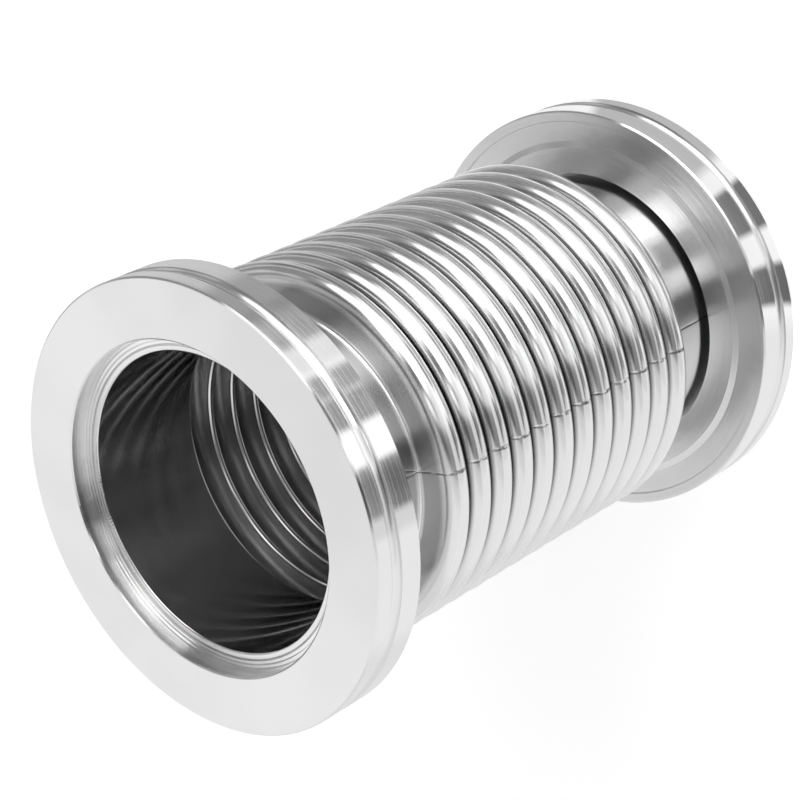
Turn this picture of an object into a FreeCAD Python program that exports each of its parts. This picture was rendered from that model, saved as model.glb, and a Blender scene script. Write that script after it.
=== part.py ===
"""Stainless vacuum bellows hose, DN 63, with a fixed clamp flange welded on each end.

Millimetres, +Z along the hose, lower sealing face on Z = 0. The five pieces are the two turned
flanges, the convoluted tube with its straight cuffs, and the ring of weld that closes each cuff
onto its flange.
"""
import FreeCAD, Part
import math
import os

import Sketcher

os.makedirs("parts", exist_ok=True)
doc = FreeCAD.newDocument("VacuumBellows")

# Driving dimensions, in millimetres apart from the count
SIZES = [
    ("overall_length", 141),
    ("flange_diameter", 95),
    ("flange_thickness", 12),
    ("edge_chamfer", 0.35),
    ("seat_depth", 3.8),
    ("seat_ledge", 3.5),
    ("seat_chamfer", 0.3),
    ("lip_thickness", 2.2),
    ("lip_clearance", 0.05),
    ("relief_gap", 1.35),
    ("ring_groove_from_face", 5),
    ("ring_groove_radius", 1.55),
    ("ring_groove_depth", 1.2),
    ("claw_groove_land", 2.3),
    ("claw_groove_depth", 0.5),
    ("claw_groove_floor", 4.5),
    ("claw_groove_outer_slope", 0.3),
    ("claw_groove_inner_slope", 1.4),
    ("claw_groove_fillet", 0.8),
    ("tube_bore", 63),
    ("tube_wall", 0.25),
    ("convolution_height", 9),
    ("convolution_pitch", 6.75),
    ("convolution_count", 12),
    ("root_gap", 1),
    ("weld_width", 1.6),
    ("weld_height", 0.35),
]

sizes = doc.addObject("Spreadsheet::Sheet", "Sizes")
for row, (alias, value) in enumerate(SIZES, start=1):
    sizes.set(f"A{row}", alias.replace("_", " "))
    sizes.set(f"B{row}", str(value))
    sizes.setAlias(f"B{row}", alias)
doc.recompute()

# Radii and heights that follow from the driving dimensions
FLANGE_RADIUS = "Sizes.flange_diameter / 2"
TUBE_INNER = "Sizes.tube_bore / 2"
TUBE_OUTER = f"({TUBE_INNER} + Sizes.tube_wall)"
SEAT_RADIUS = f"({TUBE_INNER} + Sizes.seat_ledge)"
LIP_BORE = f"({TUBE_OUTER} + Sizes.lip_clearance)"
RELIEF_BORE = f"({TUBE_OUTER} + Sizes.relief_gap)"
CLAW_OUTER = f"({FLANGE_RADIUS} - Sizes.claw_groove_land)"
CLAW_FLOOR_OUTER = f"({CLAW_OUTER} - Sizes.claw_groove_outer_slope)"
CLAW_FLOOR_INNER = f"({CLAW_FLOOR_OUTER} - Sizes.claw_groove_floor)"
CLAW_INNER = f"({CLAW_FLOOR_INNER} - Sizes.claw_groove_inner_slope)"
CLAW_FLOOR = "(Sizes.flange_thickness - Sizes.claw_groove_depth)"
LIP_BACK = "(Sizes.seat_depth + Sizes.lip_thickness)"
BEAD_OUTER = f"({TUBE_INNER} + Sizes.weld_width)"
BEAD_BASE = "(Sizes.seat_depth + Sizes.weld_height)"
CONVOLUTED_LENGTH = "(Sizes.convolution_pitch * Sizes.convolution_count)"
FIRST_ROOT = f"((Sizes.overall_length - {CONVOLUTED_LENGTH}) / 2)"
SECOND_ROOT = f"({FIRST_ROOT} + Sizes.convolution_pitch)"
LAST_ROOT = f"((Sizes.overall_length + {CONVOLUTED_LENGTH}) / 2)"
ROOT_BEND = "Sizes.root_gap / 2"
CREST_BEND = "((Sizes.convolution_pitch - Sizes.root_gap) / 2)"


def value(expression):
    """The number that an expression on the sizes gives now."""
    return float(sizes.evalExpression(expression))


def origin_feature(body, role):
    return next(feature for feature in body.Origin.OriginFeatures if feature.Role == role)


def new_body(label):
    body = doc.addObject("PartDesign::Body", label)
    body.Label = label
    return body


def section_sketch(body, name):
    """A half section in the XZ plane: sketch X is the radius, sketch Y the height."""
    sketch = body.newObject("Sketcher::SketchObject", name)
    sketch.AttachmentSupport = [(origin_feature(body, "XZ_Plane"), "")]
    sketch.MapMode = "FlatFace"
    return sketch


def dimension(sketch, expression, kind, *where):
    """Add one dimension to a sketch and bind it to an expression on the sizes."""
    index = sketch.addConstraint(Sketcher.Constraint(kind, *where, value(expression)))
    sketch.setExpression(f"Constraints[{index}]", expression)


def place_point(sketch, geometry, point, radius, height):
    dimension(sketch, radius, "DistanceX", -1, 1, geometry, point)
    dimension(sketch, height, "DistanceY", -1, 1, geometry, point)


def join(sketch, first, first_point, second, second_point):
    sketch.addConstraint(Sketcher.Constraint("Coincident", first, first_point, second, second_point))


def add_outline(sketch, corners):
    """Closed straight-sided outline, every corner dimensioned as (radius, height)."""
    points = [FreeCAD.Vector(value(radius), value(height), 0) for radius, height in corners]
    edges = []
    for start, end in zip(points, points[1:] + points[:1]):
        edges.append(sketch.addGeometry(Part.LineSegment(start, end)))
    for edge, following in zip(edges, edges[1:] + edges[:1]):
        join(sketch, edge, 2, following, 1)
    for edge, (radius, height) in zip(edges, corners):
        place_point(sketch, edge, 1, radius, height)


def add_bend(sketch, centre_radius, centre_height, bend, start_degrees, end_degrees):
    """Arc about a dimensioned centre whose ends lie square above, below or beside it."""
    centre = FreeCAD.Vector(value(centre_radius), value(centre_height), 0)
    circle = Part.Circle(centre, FreeCAD.Vector(0, 0, 1), value(bend))
    start, end = math.radians(start_degrees), math.radians(end_degrees)
    arc = sketch.addGeometry(Part.ArcOfCircle(circle, start, end))
    place_point(sketch, arc, 3, centre_radius, centre_height)
    dimension(sketch, bend, "Radius", arc)
    for point, degrees in ((1, start_degrees), (2, end_degrees)):
        kind = "Horizontal" if degrees % 180 == 0 else "Vertical"
        sketch.addConstraint(Sketcher.Constraint(kind, arc, 3, arc, point))
    return arc


def add_edge(sketch, first, first_point, second, second_point):
    """Straight edge from a point of one curve to a point of another."""
    start = sketch.getPoint(first, first_point)
    end = sketch.getPoint(second, second_point)
    edge = sketch.addGeometry(Part.LineSegment(start, end))
    join(sketch, edge, 1, first, first_point)
    join(sketch, edge, 2, second, second_point)


def revolve(body, kind, name, sketch):
    feature = body.newObject(kind, name)
    feature.Profile = sketch
    feature.ReferenceAxis = (sketch, ["V_Axis"])
    feature.Angle = 360
    sketch.Visibility = False
    return feature


def ring_edge(shape, radius, height):
    """Name of the circular edge about the Z axis with this radius and height."""
    for index, edge in enumerate(shape.Edges, start=1):
        if not isinstance(edge.Curve, Part.Circle):
            continue
        if abs(edge.Curve.Radius - radius) < 1e-4 and abs(edge.Curve.Center.z - height) < 1e-4:
            return f"Edge{index}"
    raise ValueError("no circular edge at that radius and height")


def turn_over(body):
    """Stand the body head down at the upper end of the hose."""
    body.Placement = FreeCAD.Placement(
        FreeCAD.Vector(0, 0, value("Sizes.overall_length")),
        FreeCAD.Rotation(FreeCAD.Vector(1, 0, 0), 180),
    )
    body.setExpression("Placement.Base.z", "Sizes.overall_length")


def make_flange(label):
    """Turned flange, sealing face on Z = 0, seat for the centring ring inside the face.

    Behind the seat a thin lip holds the cuff, stepped down for the bead so that the seat stays
    clear, and the bore is relieved from there to the back, so that only the lip takes the heat.
    """
    body = new_body(label)
    section = section_sketch(body, label + "_section")
    add_outline(section, [
        (LIP_BORE, BEAD_BASE),
        (BEAD_OUTER, BEAD_BASE),
        (BEAD_OUTER, "Sizes.seat_depth"),
        (SEAT_RADIUS, "Sizes.seat_depth"),
        (SEAT_RADIUS, "Sizes.seat_chamfer"),
        (f"{SEAT_RADIUS} + Sizes.seat_chamfer", "0"),
        (f"{FLANGE_RADIUS} - Sizes.edge_chamfer", "0"),
        (FLANGE_RADIUS, "Sizes.edge_chamfer"),
        (FLANGE_RADIUS, "Sizes.flange_thickness - Sizes.edge_chamfer"),
        (f"{FLANGE_RADIUS} - Sizes.edge_chamfer", "Sizes.flange_thickness"),
        (CLAW_OUTER, "Sizes.flange_thickness"),
        (CLAW_FLOOR_OUTER, CLAW_FLOOR),
        (CLAW_FLOOR_INNER, CLAW_FLOOR),
        (CLAW_INNER, "Sizes.flange_thickness"),
        (RELIEF_BORE, "Sizes.flange_thickness"),
        (RELIEF_BORE, LIP_BACK),
        (LIP_BORE, LIP_BACK),
    ])
    blank = revolve(body, "PartDesign::Revolution", label + "_blank", section)

    groove_section = section_sketch(body, label + "_ring_groove_section")
    circle = groove_section.addGeometry(Part.Circle(
        FreeCAD.Vector(value(FLANGE_RADIUS), value("Sizes.ring_groove_from_face"), 0),
        FreeCAD.Vector(0, 0, 1),
        value("Sizes.ring_groove_radius"),
    ))
    groove_centre = f"{FLANGE_RADIUS} + Sizes.ring_groove_radius - Sizes.ring_groove_depth"
    place_point(groove_section, circle, 3, groove_centre, "Sizes.ring_groove_from_face")
    dimension(groove_section, "Sizes.ring_groove_radius", "Radius", circle)
    groove = revolve(body, "PartDesign::Groove", label + "_ring_groove", groove_section)
    doc.recompute()

    fillet = body.newObject("PartDesign::Fillet", label + "_claw_groove_fillet")
    floor_corner = ring_edge(groove.Shape, value(CLAW_FLOOR_INNER), value(CLAW_FLOOR))
    fillet.Base = (groove, [floor_corner])
    fillet.setExpression("Radius", "Sizes.claw_groove_fillet")
    blank.Visibility = False
    return body


def make_bellows():
    """Convoluted tube in one piece: a cuff, the row of U-shaped convolutions, a cuff."""
    body = new_body("bellows")
    lower_section = section_sketch(body, "lower_cuff_section")
    add_outline(lower_section, [
        (TUBE_INNER, BEAD_BASE),
        (TUBE_OUTER, BEAD_BASE),
        (TUBE_OUTER, FIRST_ROOT),
        (TUBE_INNER, FIRST_ROOT),
    ])
    revolve(body, "PartDesign::Revolution", "lower_cuff", lower_section)

    # Each surface of the wall is root bend, flank, crest bend, flank, root bend
    section = section_sketch(body, "convolution_section")
    root_centre = f"{TUBE_OUTER} + {ROOT_BEND}"
    crest_centre = f"{TUBE_OUTER} + Sizes.convolution_height - {CREST_BEND}"
    crest_height = f"{FIRST_ROOT} + Sizes.convolution_pitch / 2"
    surfaces = []
    for root_bend, crest_bend in (
        (ROOT_BEND, CREST_BEND),
        (f"{ROOT_BEND} + Sizes.tube_wall", f"{CREST_BEND} - Sizes.tube_wall"),
    ):
        lower_root = add_bend(section, root_centre, FIRST_ROOT, root_bend, 90, 180)
        crest = add_bend(section, crest_centre, crest_height, crest_bend, -90, 90)
        upper_root = add_bend(section, root_centre, SECOND_ROOT, root_bend, 180, 270)
        add_edge(section, lower_root, 1, crest, 1)
        add_edge(section, crest, 2, upper_root, 2)
        surfaces.append((lower_root, upper_root))
    (outer_lower, outer_upper), (inner_lower, inner_upper) = surfaces
    add_edge(section, outer_lower, 2, inner_lower, 2)
    add_edge(section, outer_upper, 1, inner_upper, 1)
    convolution = revolve(body, "PartDesign::Revolution", "convolution", section)
    doc.recompute()

    row = body.newObject("PartDesign::LinearPattern", "convolution_row")
    row.Originals = [convolution]
    row.Direction = (origin_feature(body, "Z_Axis"), [""])
    row.setExpression("Length", "Sizes.convolution_pitch * (Sizes.convolution_count - 1)")
    row.setExpression("Occurrences", "Sizes.convolution_count")
    body.Tip = row
    doc.recompute()

    upper_section = section_sketch(body, "upper_cuff_section")
    add_outline(upper_section, [
        (TUBE_INNER, LAST_ROOT),
        (TUBE_OUTER, LAST_ROOT),
        (TUBE_OUTER, f"Sizes.overall_length - {BEAD_BASE}"),
        (TUBE_INNER, f"Sizes.overall_length - {BEAD_BASE}"),
    ])
    revolve(body, "PartDesign::Revolution", "upper_cuff", upper_section)
    return body


def make_weld(label):
    """Low ring of weld over the end of the cuff and the lip, its crown level with the seat floor."""
    body = new_body(label)
    section = section_sketch(body, label + "_section")
    bead_radius = "(Sizes.weld_width ^ 2 / 4 + Sizes.weld_height ^ 2) / (2 * Sizes.weld_height)"
    inner = FreeCAD.Vector(value(TUBE_INNER), value(BEAD_BASE), 0)
    outer = FreeCAD.Vector(value(BEAD_OUTER), value(BEAD_BASE), 0)
    crown = (inner + outer) / 2 - FreeCAD.Vector(0, value("Sizes.weld_height"), 0)
    bead = section.addGeometry(Part.Arc(inner, crown, outer))
    place_point(section, bead, 1, TUBE_INNER, BEAD_BASE)
    place_point(section, bead, 2, BEAD_OUTER, BEAD_BASE)
    dimension(section, bead_radius, "Radius", bead)
    add_edge(section, bead, 1, bead, 2)
    revolve(body, "PartDesign::Revolution", label + "_bead", section)
    return body


lower_flange = make_flange("lower_flange")
lower_weld = make_weld("lower_weld")
bellows = make_bellows()
upper_flange = make_flange("upper_flange")
upper_weld = make_weld("upper_weld")
turn_over(upper_flange)
turn_over(upper_weld)
doc.recompute()

for item in doc.Objects:
    if "Invalid" in item.State or "Error" in item.State:
        raise RuntimeError(f"{item.Label} did not compute: {item.State}")

for body in (lower_flange, lower_weld, bellows, upper_weld, upper_flange):
    shape = body.Shape
    if not shape.isValid() or len(shape.Solids) != 1:
        raise RuntimeError(f"{body.Label} is not one valid solid")
    shape.exportStep(f"parts/{body.Label}.step")
    box = shape.BoundBox
    print(f"{body.Label}: {shape.Volume:.0f} mm3, Z {box.ZMin:.2f} to {box.ZMax:.2f},"
          f" width {box.XLength:.2f}, {len(shape.Faces)} faces")
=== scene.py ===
import math

import bpy
from mathutils import Matrix, Vector, noise


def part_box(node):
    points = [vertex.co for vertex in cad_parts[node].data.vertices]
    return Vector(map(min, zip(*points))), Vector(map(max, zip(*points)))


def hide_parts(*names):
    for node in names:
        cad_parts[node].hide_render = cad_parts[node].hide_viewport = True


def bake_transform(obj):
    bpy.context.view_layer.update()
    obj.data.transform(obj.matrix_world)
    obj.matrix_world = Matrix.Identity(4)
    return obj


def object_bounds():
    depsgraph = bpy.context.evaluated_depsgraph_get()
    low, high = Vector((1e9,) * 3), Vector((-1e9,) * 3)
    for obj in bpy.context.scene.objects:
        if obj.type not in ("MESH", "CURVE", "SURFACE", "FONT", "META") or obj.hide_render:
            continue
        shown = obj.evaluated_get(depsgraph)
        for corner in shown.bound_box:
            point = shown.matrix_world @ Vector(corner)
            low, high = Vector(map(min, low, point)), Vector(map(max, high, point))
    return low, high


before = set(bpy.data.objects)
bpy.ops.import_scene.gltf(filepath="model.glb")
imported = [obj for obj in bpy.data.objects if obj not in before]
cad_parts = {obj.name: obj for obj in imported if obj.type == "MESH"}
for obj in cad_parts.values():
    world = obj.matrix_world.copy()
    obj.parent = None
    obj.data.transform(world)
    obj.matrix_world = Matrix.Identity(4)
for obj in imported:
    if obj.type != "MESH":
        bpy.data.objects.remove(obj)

MM = 0.001
CAD_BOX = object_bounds()
HOSE_LENGTH = CAD_BOX[1].z - CAD_BOX[0].z
FLANGE_RADIUS = (CAD_BOX[1].x - CAD_BOX[0].x) / 2
TUBE_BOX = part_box("bellows")
SEAT_RADIUS = 35 * MM
SEAT_DEPTH = 3.8 * MM

# The formed tube, which follows the CAD node, and the steps in degrees along its bends
TUBE_OUTER = 31.75 * MM
TUBE_WALL = 0.25 * MM
CREST_RADIUS = TUBE_BOX[1].x
CONVOLUTIONS = 12
PITCH = 6.75 * MM
ROOT_BEND = 0.5 * MM
CREST_BEND = PITCH / 2 - ROOT_BEND
FIRST_ROOT = (HOSE_LENGTH - PITCH * CONVOLUTIONS) / 2
LAST_ROOT = HOSE_LENGTH - FIRST_ROOT
FORMING_SCATTER = 0.05 * MM
ROUND_STEPS = 172
CUFF_STEPS = (0, 0.33, 0.67)
ROOT_BEND_STEP = 30
CREST_BEND_STEP = 15
INNER_SIDE = "inner_side"

# The lengthwise seam of the tube, before it was formed
SEAM_ANGLE = math.radians(175.8)
SEAM_HALF_ANGLE = math.radians(1.2)
SEAM_STEPS = 16
SEAM_WANDER = 0.16 * MM
SEAM_WANDER_LENGTH = 2.2 * MM
SEAM_GROOVE_WIDTH = 0.18 * MM
SEAM_GROOVE_DEPTH = 0.045 * MM
SEAM_LINE_WIDTH = 0.2 * MM
SEAM_LINE_WIDER_ON_CRESTS = 0.4 * MM
SEAM_LINE_WOBBLE = 0.6 * MM
SEAM_LINE_STRENGTH = 0.85
SEAM_LINE_GREY = 0.13
SEAM_LINE_WARMTH = 0.05

# Camera, found by fitting the two flanges' ellipses in the photograph
PHOTO_SIDE = 800
FOCAL_PIXELS = 2317.1
SENSOR_WIDTH = 36
NEAR_FACE_CENTRE = Vector((-39.87, 21.63, 448.27)) * MM
AXIS_TO_FAR = Vector((0.6499, -0.3265, 0.6863)).normalized()

# Finishes. A pair is the lowest and the highest that the smears on the metal give.
LATHE_ANISOTROPY = 0.95
FACE_ANISOTROPY = 0.4
FOLD_ANISOTROPY = 0.3
INNER_CUFF_ANISOTROPY = 0.7
FACE_ROUGHNESS = (0.26, 0.32)
RIM_ROUGHNESS = (0.12, 0.16)
BACK_ROUGHNESS = (0.16, 0.21)
SATIN_ROUGHNESS = (0.17, 0.23)
INNER_FOLD_ROUGHNESS = 0.2
CUFF_ROUGHNESS = (0.10, 0.15)
WELD_ROUGHNESS = (0.1, 0.2)
TURNED_GREYS = (0.80, 0.86)
FORMED_GREYS = (0.76, 0.84)
WELD_GREYS = (0.70, 0.82)
# Painted shade: the tube's base colour deep between its crests
FOLD_PAINTED_SHADE_GREY = 0.42
# Painted shade: the tube's base colour on its inside
INSIDE_PAINTED_SHADE_GREY = 0.66
TURNING_PITCH = 0.22 * MM
TURNING_HEIGHT = 0.0006 * MM
SCORE_PITCH = 1.1 * MM
SCORE_HEIGHT = 0.006 * MM
STEP_PITCH = 0.9 * MM
STEP_HEIGHT = 0.05 * MM
FORMING_PITCH = 0.35 * MM
FORMING_HEIGHT = 0.006 * MM
RIPPLE_PITCH = 0.7 * MM
RIPPLE_HEIGHT = 0.005 * MM
RIPPLE_BOW = 3.0e6

FLOOR_HALF = 6
FLOOR_GREY = 0.86
FLOOR_GLOW = 0.46
CARD_STEP = 0.05 * MM
CARD_FADE = 0.12
CARD_SEGMENTS = 36

# Studio that the metal reflects. Sky patches: level, azimuth, half width, lowest and highest
# elevation and softness of the edge, in degrees. A later patch lies over an earlier one.
WORLD_LEVEL = 0.95
SKY_PATCHES = [
    (0.38, 0, 200, 60, 100, 14),
    (0.40, 0, 75, 46, 80, 8),
    (0.82, 70, 26, -6, 56, 12),
    (0.30, -42, 40, -4, 60, 10),
    (0.68, -48, 8, 34, 46, 6),
    (0.72, -35, 8, 22, 36, 6),
    (0.66, -23, 8, 12, 25, 6),
    (0.20, -83, 11, -6, 12, 6),
    (0.10, -73, 24, 42, 64, 6),
    (1.70, -114, 13, 38, 64, 5),
    (1.09, 20, 24, 20, 47, 6),
    (0.62, 24, 30, 45, 60, 6),
    (0.78, 146, 8, 0, 55, 8),
    (0.12, -147, 12, 38, 66, 5),
    (0.42, -168, 7, 26, 43, 6),
    (0.26, 166, 13, 2, 60, 5),
    (0.06, 167, 12, 36, 66, 5),
    (1.50, -169, 6, 44, 66, 4),
]

# Soft-edged cards on the floor: name, level, azimuth, half width and softness of the edge in
# degrees, inner and outer radius in metres. A later card lies over an earlier one.
CARDS = [
    ("far_rim_card_1", 0.15, -178, 6, 3, 0.042, 0.064),
    ("far_rim_card_2", 0.18, -154, 7.5, 3, 0.042, 0.064),
    ("far_rim_card_3", 0.55, -117, 21, 6, 0.042, 0.064),
    ("pale_card", 0.95, 118, 52, 10, 0.042, 1.4),
    ("soft_side_card", 0.84, 70, 28, 14, 0.042, 1.4),
    ("inner_grey_card", 0.42, -120, 60, 8, 0.066, 0.14),
    ("white_card", 1.25, -153, 26, 8, 0.11, 0.6),
    ("side_card", 0.64, -36, 34, 12, 0.07, 0.26),
    ("side_far_card", 0.34, -36, 46, 12, 0.2, 1.4),
    ("dark_side_card", 0.20, -76, 24, 8, 0.12, 1.4),
    ("dark_card", 0.28, 173, 7, 5, 0.075, 0.22),
    ("half_dark_card", 0.75, 173, 7, 5, 0.2, 1.4),
    ("grey_card", 0.78, 160, 7, 3, 0.075, 1.4),
    ("near_rim_card_1", 0.06, 173, 11, 4, 0.145, 0.255),
    ("near_rim_card_2", 0.12, -152, 7, 4, 0.145, 0.255),
    ("near_rim_card_3", 0.18, -139, 6, 6, 0.145, 0.255),
    ("near_rim_card_4", 0.85, -125, 6, 4, 0.145, 0.255),
    ("near_rim_card_5", 0.22, -106, 12, 6, 0.145, 0.255),
    ("near_rim_card_6", 0.42, -80, 14, 10, 0.145, 0.255),
    ("near_rim_card_7", 0.68, -40, 30, 10, 0.145, 0.255),
]

# Lamp: name, azimuth and elevation in degrees, distance, width and height in metres, level
KEY_LAMP = ("key_softbox", -121, 22, 0.9, 1.22, 0.5, 1.7)


def tube_profile(inward):
    """Half section of one surface of the tube as (radius, height, normal), from end to end.

    inward is 0 for the outer surface and the wall for the inner one; the normal is a pair
    (radial, axial) that points to the outside of the tube.
    """
    root_bend = ROOT_BEND + inward
    crest_bend = CREST_BEND - inward
    root_centre = TUBE_OUTER + ROOT_BEND
    points = [(TUBE_OUTER - inward, TUBE_BOX[0].z + t * (FIRST_ROOT - TUBE_BOX[0].z), (1, 0))
              for t in CUFF_STEPS]
    for index in range(CONVOLUTIONS):
        start = FIRST_ROOT + index * PITCH
        middle = start + PITCH / 2
        scatter = FORMING_SCATTER * (noise.noise((index * 1.7, 3.1, 0.4)) - 0.6)
        crest_centre = CREST_RADIUS - CREST_BEND + scatter
        for angle in range(180, 90 - 1, -ROOT_BEND_STEP):
            points.append(bend_point(root_centre, start, root_bend, angle, -1))
        for angle in range(-90, 90 + 1, CREST_BEND_STEP):
            points.append(bend_point(crest_centre, middle, crest_bend, angle, 1))
        for angle in range(270, 180, -ROOT_BEND_STEP):
            points.append(bend_point(root_centre, start + PITCH, root_bend, angle, -1))
    points += [(TUBE_OUTER - inward, LAST_ROOT + t * (TUBE_BOX[1].z - LAST_ROOT), (1, 0))
               for t in (*CUFF_STEPS, 1)]
    return points


def bend_point(centre_radius, centre_height, bend, angle, side):
    """A point on a bend at an angle in degrees, with its normal.

    side is 1 on a crest, whose normal points away from the bend's centre, and -1 in a root.
    """
    radial, axial = math.cos(math.radians(angle)), math.sin(math.radians(angle))
    place = (centre_radius + bend * radial, centre_height + bend * axial)
    return (*place, (side * radial, side * axial))


def ring_angles():
    """Angles round the tube, close together where the seam runs."""
    fine = [SEAM_ANGLE + SEAM_HALF_ANGLE * (2 * i / SEAM_STEPS - 1) for i in range(SEAM_STEPS + 1)]
    rest = 2 * math.pi - 2 * SEAM_HALF_ANGLE
    coarse = [fine[-1] + rest * (i + 1) / ROUND_STEPS for i in range(ROUND_STEPS - 1)]
    return fine + coarse


def seam_groove(distance):
    """Depth of the seam's groove and its slope at a distance across the seam."""
    if abs(distance) >= 4 * SEAM_GROOVE_WIDTH:
        return 0, 0
    depth = SEAM_GROOVE_DEPTH * math.exp(-(distance / SEAM_GROOVE_WIDTH) ** 2)
    return depth, -2 * distance / SEAM_GROOVE_WIDTH ** 2 * depth


def make_tube():
    """Convoluted tube in one piece, outer and inner surface, closed at both ends."""
    angles = ring_angles()
    count = len(angles)
    outer, inner = tube_profile(0), tube_profile(TUBE_WALL)[::-1]
    rows = len(outer) + len(inner)
    vertices, normals, inside = [], [], []
    for profile, side in ((outer, 1), (inner, -1)):
        for radius, height, (radial, axial) in profile:
            place = (height / SEAM_WANDER_LENGTH, radius / SEAM_WANDER_LENGTH, 7.3)
            wander = SEAM_WANDER * noise.noise(place)
            for angle in angles:
                depth, slope = seam_groove((angle - SEAM_ANGLE) * radius - wander)
                out = Vector((math.cos(angle), math.sin(angle), 0))
                round_way = Vector((-math.sin(angle), math.cos(angle), 0))
                normal = out * radial + Vector((0, 0, axial))
                vertices.append(out * radius + Vector((0, 0, height)) - normal * depth)
                normals.append(((normal + round_way * slope) * side).normalized())
                inside.append(1 if side < 0 else 0)
    faces = []
    for row in range(rows):
        following = (row + 1) % rows
        for i in range(count):
            j = (i + 1) % count
            faces.append((row * count + i, row * count + j,
                          following * count + j, following * count + i))
    mesh = bpy.data.meshes.new("formed_tube")
    mesh.from_pydata(vertices, [], faces)
    mesh.polygons.foreach_set("use_smooth", [True] * len(faces))
    mesh.normals_split_custom_set_from_vertices(normals)
    mesh.attributes.new(INNER_SIDE, "FLOAT", "POINT").data.foreach_set("value", inside)
    tube = bpy.data.objects.new("formed_tube", mesh)
    bpy.context.scene.collection.objects.link(tube)
    return tube


def look_from_photo():
    """Camera at the photograph's angle, worked out from where it sees the near face and the axis."""
    across = AXIS_TO_FAR.cross(Vector((0, 1, 0))).normalized()
    other = AXIS_TO_FAR.cross(across)
    to_row = Matrix((across, -other, -AXIS_TO_FAR))
    near_face = Vector((0, 0, HOSE_LENGTH))
    data = bpy.data.cameras.new("photo_camera")
    data.sensor_width = SENSOR_WIDTH
    data.lens = FOCAL_PIXELS / PHOTO_SIDE * SENSOR_WIDTH
    data.clip_start = 0.01
    camera = bpy.data.objects.new("photo_camera", data)
    turn = to_row @ Matrix(((1, 0, 0), (0, -1, 0), (0, 0, -1)))
    camera.matrix_world = Matrix.Translation(near_face - to_row @ NEAR_FACE_CENTRE) @ turn.to_4x4()
    bpy.context.scene.collection.objects.link(camera)
    bpy.context.scene.camera = camera


def add_node(tree, kind, values=None, **settings):
    """A shader node with its settings, and with sockets given as numbers or as other sockets."""
    node = tree.nodes.new(kind)
    for key, value in settings.items():
        setattr(node, key, value)
    for key, value in (values or {}).items():
        if isinstance(value, bpy.types.NodeSocket):
            tree.links.new(value, node.inputs[key])
        else:
            node.inputs[key].default_value = value
    return node


def math_node(tree, operation, *values, clamp=False):
    settings = {"operation": operation, "use_clamp": clamp}
    return add_node(tree, "ShaderNodeMath", dict(enumerate(values)), **settings).outputs[0]


def plus(tree, first, second, clamp=False):
    return math_node(tree, "ADD", first, second, clamp=clamp)


def minus(tree, first, second, clamp=False):
    return math_node(tree, "SUBTRACT", first, second, clamp=clamp)


def times(tree, first, second, clamp=False):
    return math_node(tree, "MULTIPLY", first, second, clamp=clamp)


def noise_at(tree, vector, scale, detail=2, roughness=0.5):
    node = add_node(tree, "ShaderNodeTexNoise",
                    {"Vector": vector, "Scale": scale, "Detail": detail, "Roughness": roughness})
    return node.outputs[0]


def between(tree, value, low, high, new_low=0, new_high=1):
    """value carried smoothly from one range to another, and held outside it."""
    node = add_node(tree, "ShaderNodeMapRange", {
        "Value": value, "From Min": low, "From Max": high, "To Min": new_low, "To Max": new_high,
    }, interpolation_type="SMOOTHSTEP")
    return node.outputs["Result"]


def mix_colours(tree, factor, first, second):
    node = add_node(tree, "ShaderNodeMix", data_type="RGBA")
    for socket, value in zip((node.inputs[0], node.inputs[6], node.inputs[7]), (factor, first, second)):
        if isinstance(value, bpy.types.NodeSocket):
            tree.links.new(value, socket)
        else:
            socket.default_value = value
    return node.outputs[2]


def grey(level, warmth=0.0):
    return (level * (1 + warmth), level, level * (1 - warmth), 1)


def new_metal(name):
    """A material with a metal shader, and the place on the object, its coordinates and radius."""
    material = bpy.data.materials.new(name)
    material.use_nodes = True
    tree = material.node_tree
    shader = tree.nodes["Principled BSDF"]
    shader.inputs["Metallic"].default_value = 1
    shader.inputs["Anisotropic"].default_value = LATHE_ANISOTROPY
    shader.inputs["Anisotropic Rotation"].default_value = 0.25
    tangent = add_node(tree, "ShaderNodeTangent", direction_type="RADIAL", axis="Z")
    tree.links.new(tangent.outputs[0], shader.inputs["Tangent"])
    place = add_node(tree, "ShaderNodeTexCoord").outputs["Object"]
    parts = add_node(tree, "ShaderNodeSeparateXYZ", {0: place}).outputs
    squares = plus(tree, math_node(tree, "POWER", parts[0], 2), math_node(tree, "POWER", parts[1], 2))
    radius = math_node(tree, "SQRT", squares)
    return material, tree, shader, place, parts, radius


def turning_marks(tree, radius, height, pitch):
    """Rings that a lathe leaves: noise that changes along the section and not round the part."""
    section = add_node(tree, "ShaderNodeCombineXYZ", {0: radius, 1: height}).outputs[0]
    return noise_at(tree, section, 1 / pitch, detail=3, roughness=0.65)


def tool_steps(tree, radius):
    """Fine steps that the tool left as rings, from -1 to 1."""
    return math_node(tree, "SINE", times(tree, radius, 2 * math.pi / STEP_PITCH))


def relief(tree, shader, height, distance=1, strength=1):
    """Bump the shader by a height, in metres where distance is 1."""
    bump = add_node(tree, "ShaderNodeBump", {"Strength": strength, "Distance": distance, "Height": height})
    tree.links.new(bump.outputs[0], shader.inputs["Normal"])


def choose(tree, factor, first, second):
    """first where the factor is 0 and second where it is 1, for plain numbers."""
    return add_node(tree, "ShaderNodeMix", {0: factor, 2: first, 3: second}).outputs[0]


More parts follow.
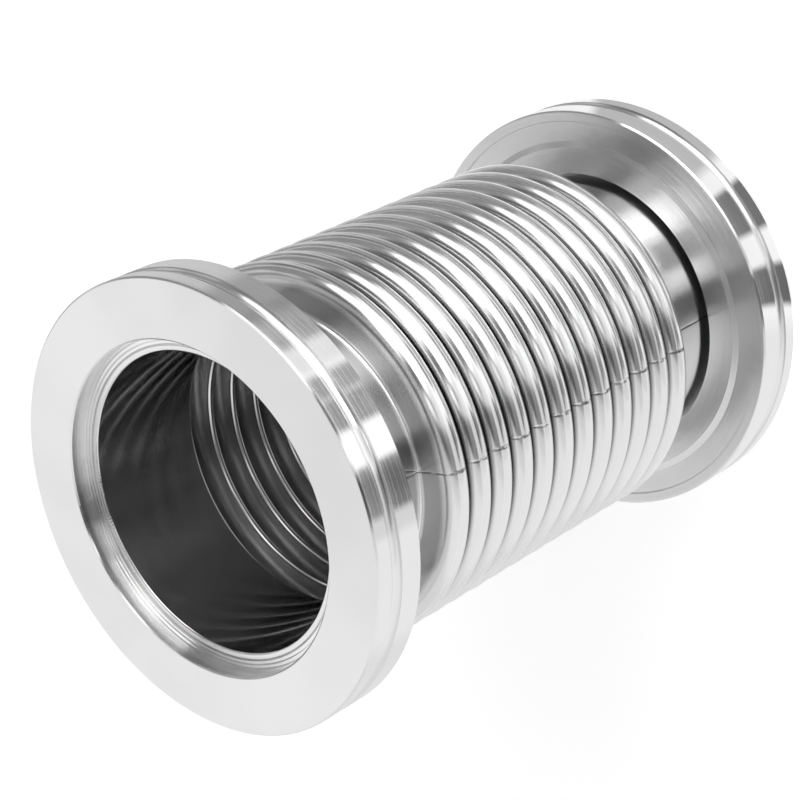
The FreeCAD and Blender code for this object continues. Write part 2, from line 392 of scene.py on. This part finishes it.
def turned_stainless(name, face_height):
    """Turned flange: fine matt sealing face, polished rims, seat and back."""
    material, tree, shader, place, parts, radius = new_metal(name)
    from_face = math_node(tree, "ABSOLUTE", minus(tree, parts[2], face_height))
    on_face = between(tree, from_face, 0.02 * MM, 0.12 * MM, 1, 0)
    on_rim = between(tree, radius, FLANGE_RADIUS - 0.5 * MM, FLANGE_RADIUS - 0.3 * MM)
    marks = turning_marks(tree, radius, parts[2], TURNING_PITCH)
    smears = noise_at(tree, place, 70, detail=4)
    bright = choose(tree, on_rim, between(tree, smears, 0.35, 0.7, *BACK_ROUGHNESS),
                    between(tree, smears, 0.35, 0.7, *RIM_ROUGHNESS))
    roughness = choose(tree, on_face, bright, between(tree, smears, 0.3, 0.7, *FACE_ROUGHNESS))
    marked = plus(tree, roughness, times(tree, marks, 0.05))
    tree.links.new(marked, shader.inputs["Roughness"])
    anisotropy = choose(tree, on_face, LATHE_ANISOTROPY, FACE_ANISOTROPY)
    tree.links.new(anisotropy, shader.inputs["Anisotropic"])
    colour = mix_colours(tree, smears, *map(grey, TURNED_GREYS))
    tree.links.new(colour, shader.inputs["Base Color"])

    # The tool left fine steps on the floor of the seat, and single scores elsewhere
    on_floor = in_span(tree, from_face, SEAT_DEPTH - 0.2 * MM, SEAT_DEPTH + 0.3 * MM, 0.2 * MM, 0.2 * MM)
    on_seat = times(tree, on_floor, between(tree, radius, SEAT_RADIUS, SEAT_RADIUS + 0.2 * MM, 1, 0))
    stepped = times(tree, times(tree, tool_steps(tree, radius), on_seat), STEP_HEIGHT)
    scores = between(tree, turning_marks(tree, radius, parts[2], SCORE_PITCH), 0.52, 0.56)
    scored = times(tree, times(tree, scores, minus(tree, 1, on_face)), SCORE_HEIGHT)
    relief(tree, shader, plus(tree, plus(tree, stepped, scored), times(tree, marks, TURNING_HEIGHT)))
    return material


def formed_stainless():
    """Formed tube: satin convolutions, polished cuffs, a fine dark line along the seam, and painted shade
    deep in the folds and on the inside.
    """
    material, tree, shader, place, parts, radius = new_metal("formed_stainless_tube")
    from_middle = math_node(tree, "ABSOLUTE", minus(tree, parts[2], HOSE_LENGTH / 2))
    row_half = (LAST_ROOT - FIRST_ROOT) / 2
    on_cuff = between(tree, from_middle, row_half - 0.2 * MM, row_half + 0.5 * MM)
    smears = noise_at(tree, place, 60, detail=4)
    inside = add_node(tree, "ShaderNodeAttribute", attribute_name=INNER_SIDE).outputs["Fac"]
    satin = between(tree, smears, 0.3, 0.7, *SATIN_ROUGHNESS)
    polished = between(tree, smears, 0.3, 0.7, *CUFF_ROUGHNESS)
    folds = choose(tree, inside, satin, INNER_FOLD_ROUGHNESS)
    tree.links.new(choose(tree, on_cuff, folds, polished), shader.inputs["Roughness"])
    cuff_anisotropy = choose(tree, inside, LATHE_ANISOTROPY, INNER_CUFF_ANISOTROPY)
    tree.links.new(choose(tree, on_cuff, FOLD_ANISOTROPY, cuff_anisotropy), shader.inputs["Anisotropic"])

    # Painted shade: deep in the folds little light is left, so the base colour is darkened there, apart
    # from the two end flanks, which lie open
    tube_colour = mix_colours(tree, smears, *map(grey, FORMED_GREYS))
    painted_fold_shade = times(tree, between(tree, radius, TUBE_OUTER + 0.5 * MM, TUBE_OUTER + 1.2 * MM),
                    between(tree, radius, CREST_RADIUS - 2.2 * MM, CREST_RADIUS - 1.1 * MM, 1, 0))
    last_crest = row_half - PITCH / 2
    end_flank = times(tree, between(tree, from_middle, last_crest, last_crest + 0.4 * MM),
                      between(tree, radius, CREST_RADIUS - 4.4 * MM, CREST_RADIUS - 2.6 * MM))
    painted_fold_shade = minus(tree, painted_fold_shade, plus(tree, inside, end_flank), clamp=True)
    tube_colour = mix_colours(tree, painted_fold_shade, tube_colour, grey(FOLD_PAINTED_SHADE_GREY))
    # Painted shade: the inside of the tube is given a darker base colour
    tube_colour = mix_colours(tree, inside, tube_colour, grey(INSIDE_PAINTED_SHADE_GREY))

    # The weld line of the seam, broken into blotches and wider where it was stretched over a crest
    round_angle = math_node(tree, "ARCTAN2", parts[1], parts[0])
    across = times(tree, minus(tree, round_angle, SEAM_ANGLE), radius)
    wobble = minus(tree, noise_at(tree, place, 450, detail=3), 0.5)
    wandering = plus(tree, across, times(tree, wobble, SEAM_LINE_WOBBLE))
    off_seam = math_node(tree, "ABSOLUTE", wandering)
    crest = between(tree, radius, CREST_RADIUS - 1.6 * MM, CREST_RADIUS)
    width = plus(tree, times(tree, crest, SEAM_LINE_WIDER_ON_CRESTS), SEAM_LINE_WIDTH)
    near_seam = math_node(tree, "DIVIDE", off_seam, width)
    blotch = between(tree, noise_at(tree, place, 700, detail=3), 0.35, 0.6)
    line = times(tree, between(tree, near_seam, 0.3, 1.0, 1, 0), blotch, clamp=True)
    dark = grey(SEAM_LINE_GREY, SEAM_LINE_WARMTH)
    colour = mix_colours(tree, times(tree, line, SEAM_LINE_STRENGTH), tube_colour, dark)
    tree.links.new(colour, shader.inputs["Base Color"])

    lines = turning_marks(tree, radius, parts[2], FORMING_PITCH)
    skin = noise_at(tree, place, 1400, detail=2)
    grain = plus(tree, times(tree, lines, 0.6), times(tree, skin, 0.15))
    relief(tree, shader, times(tree, grain, minus(tree, 1, inside)), FORMING_HEIGHT, 0.3)
    return material


def weld_stainless(name):
    """Fused ring of weld: low ripples round the ring and two faint steps."""
    material, tree, shader, place, parts, radius = new_metal(name)
    round_angle = math_node(tree, "ARCTAN2", parts[1], parts[0])
    wobble = times(tree, noise_at(tree, place, 500, detail=2), 4)
    from_ridge = minus(tree, radius, TUBE_OUTER + 0.55 * MM)
    bow = times(tree, math_node(tree, "POWER", from_ridge, 2), RIPPLE_BOW)
    turns = plus(tree, times(tree, round_angle, 2 * math.pi * TUBE_OUTER / RIPPLE_PITCH), bow)
    ripples = math_node(tree, "SINE", plus(tree, turns, wobble))
    smears = noise_at(tree, place, 300, detail=3)
    tree.links.new(between(tree, smears, 0.3, 0.7, *WELD_ROUGHNESS), shader.inputs["Roughness"])
    colour = mix_colours(tree, smears, *map(grey, WELD_GREYS))
    tree.links.new(colour, shader.inputs["Base Color"])
    stepped = times(tree, tool_steps(tree, radius), STEP_HEIGHT)
    relief(tree, shader, plus(tree, stepped, times(tree, ripples, RIPPLE_HEIGHT)))
    return material


def dress(piece, material):
    piece.data.materials.clear()
    piece.data.materials.append(material)


def make_floor():
    """Plain pale floor that shows white to the camera and in the metal, and keeps the shadow."""
    corners = [(x * FLOOR_HALF, y * FLOOR_HALF, 0) for x, y in ((-1, -1), (1, -1), (1, 1), (-1, 1))]
    mesh = bpy.data.meshes.new("floor")
    mesh.from_pydata(corners, [], [(0, 1, 2, 3)])
    floor = bpy.data.objects.new("floor", mesh)
    bpy.context.scene.collection.objects.link(floor)
    material = bpy.data.materials.new("pale_floor")
    material.use_nodes = True
    tree = material.node_tree
    shader = tree.nodes["Principled BSDF"]
    shader.inputs["Base Color"].default_value = grey(FLOOR_GREY)
    shader.inputs["Roughness"].default_value = 0.9
    shader.inputs["Specular IOR Level"].default_value = 0
    shader.inputs["Emission Color"].default_value = grey(1)
    path = add_node(tree, "ShaderNodeLightPath").outputs
    shown = plus(tree, path["Is Camera Ray"], path["Is Glossy Ray"])
    shown = plus(tree, shown, path["Is Transmission Ray"], clamp=True)
    tree.links.new(times(tree, shown, FLOOR_GLOW), shader.inputs["Emission Strength"])
    dress(floor, material)


def toward(azimuth, elevation=0):
    """Unit vector for an azimuth about +Z, from +X, and an elevation, both in degrees."""
    around, up = math.radians(azimuth), math.radians(elevation)
    return Vector((math.cos(around) * math.cos(up), math.sin(around) * math.cos(up), math.sin(up)))


def in_sector(tree, vector, azimuth, half_width, edge):
    """1 where the vector's azimuth lies in a sector, all in degrees, fading to 0 across its edges."""
    ahead, aside = (
        add_node(tree, "ShaderNodeVectorMath", {0: vector, 1: toward(way)}, operation="DOT_PRODUCT")
        for way in (azimuth, azimuth + 90)
    )
    turn = math_node(tree, "ARCTAN2", aside.outputs["Value"], ahead.outputs["Value"])
    starts, ends = math.radians(half_width - edge / 2), math.radians(half_width + edge / 2)
    return between(tree, math_node(tree, "ABSOLUTE", turn), starts, ends, 1, 0)


def in_span(tree, value, low, high, low_edge, high_edge):
    """1 from low to high, fading to 0 across an edge at each end."""
    above = between(tree, value, low - low_edge / 2, low + low_edge / 2)
    below = between(tree, value, high - high_edge / 2, high + high_edge / 2, 1, 0)
    return times(tree, above, below)


def make_world():
    """Pale studio with darker room above it and bright panels, as the metal reflects them."""
    world = bpy.data.worlds.new("studio")
    world.use_nodes = True
    bpy.context.scene.world = world
    tree = world.node_tree
    ray = add_node(tree, "ShaderNodeTexCoord").outputs["Generated"]
    height = math_node(tree, "ARCSINE", add_node(tree, "ShaderNodeSeparateXYZ", {0: ray}).outputs[2])
    level = WORLD_LEVEL
    for patch_level, azimuth, half_width, low, high, edge in SKY_PATCHES:
        sector = in_sector(tree, ray, azimuth, half_width, edge)
        low, high, soft = (math.radians(angle) for angle in (low, high, edge))
        mask = times(tree, sector, in_span(tree, height, low, high, soft, soft))
        level = choose(tree, mask, level, patch_level)
    background = tree.nodes["Background"]
    background.inputs["Color"].default_value = grey(1)
    tree.links.new(level, background.inputs["Strength"])


def make_card(order, name, level, azimuth, half_width, edge, inner, outer):
    """Matt card flat on the floor that only the metal sees, faded out at its edges."""
    lift = Vector((0, 0, (1 + order) * CARD_STEP))
    vertices = []
    for i in range(CARD_SEGMENTS + 1):
        way = toward(azimuth + (half_width + edge / 2) * (2 * i / CARD_SEGMENTS - 1))
        vertices += [way * radius + lift for radius in (inner, outer)]
    faces = [(2 * i, 2 * i + 1, 2 * i + 3, 2 * i + 2) for i in range(CARD_SEGMENTS)]
    mesh = bpy.data.meshes.new(name)
    mesh.from_pydata(vertices, [], faces)
    card = bpy.data.objects.new(name, mesh)
    bpy.context.scene.collection.objects.link(card)
    material = bpy.data.materials.new(name)
    material.use_nodes = True
    tree = material.node_tree
    shader = tree.nodes["Principled BSDF"]
    shader.inputs["Base Color"].default_value = grey(0.02)
    shader.inputs["Specular IOR Level"].default_value = 0
    shader.inputs["Emission Color"].default_value = grey(1)
    shader.inputs["Emission Strength"].default_value = level
    place = add_node(tree, "ShaderNodeTexCoord").outputs["Object"]
    radius = add_node(tree, "ShaderNodeVectorMath", {0: place}, operation="LENGTH").outputs["Value"]
    sector = in_sector(tree, place, azimuth, half_width, edge)
    near_edge, far_edge = inner * CARD_FADE, outer * CARD_FADE
    span = in_span(tree, radius, inner + near_edge / 2, outer - far_edge / 2, near_edge, far_edge)
    tree.links.new(times(tree, sector, span), shader.inputs["Alpha"])
    dress(card, material)
    card.visible_camera = card.visible_diffuse = False
    card.visible_shadow = card.visible_transmission = False


def make_lamp(name, azimuth, elevation, distance, width, height, level):
    """Soft lamp that looks at the hose; level is how bright it shows in the metal."""
    data = bpy.data.lights.new(name, "AREA")
    data.shape = "RECTANGLE"
    data.size, data.size_y = width, height
    data.energy = level * math.pi * width * height
    lamp = bpy.data.objects.new(name, data)
    middle = Vector((0, 0, HOSE_LENGTH / 2))
    way = toward(azimuth, elevation)
    lamp.location = middle + way * distance
    lamp.rotation_mode = "QUATERNION"
    lamp.rotation_quaternion = way.to_track_quat("Z", "Y")
    lamp.visible_camera = False
    bpy.context.scene.collection.objects.link(lamp)


tube = make_tube()
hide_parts("bellows")
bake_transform(tube)
dress(tube, formed_stainless())
for end, face_height in (("lower", 0), ("upper", HOSE_LENGTH)):
    dress(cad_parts[f"{end}_flange"], turned_stainless(f"turned_stainless_{end}", face_height))
    dress(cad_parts[f"{end}_weld"], weld_stainless(f"weld_stainless_{end}"))

look_from_photo()
make_floor()
make_world()
for order, card in enumerate(CARDS):
    make_card(order, *card)
make_lamp(*KEY_LAMP)
bpy.context.scene.view_settings.view_transform = "Standard"
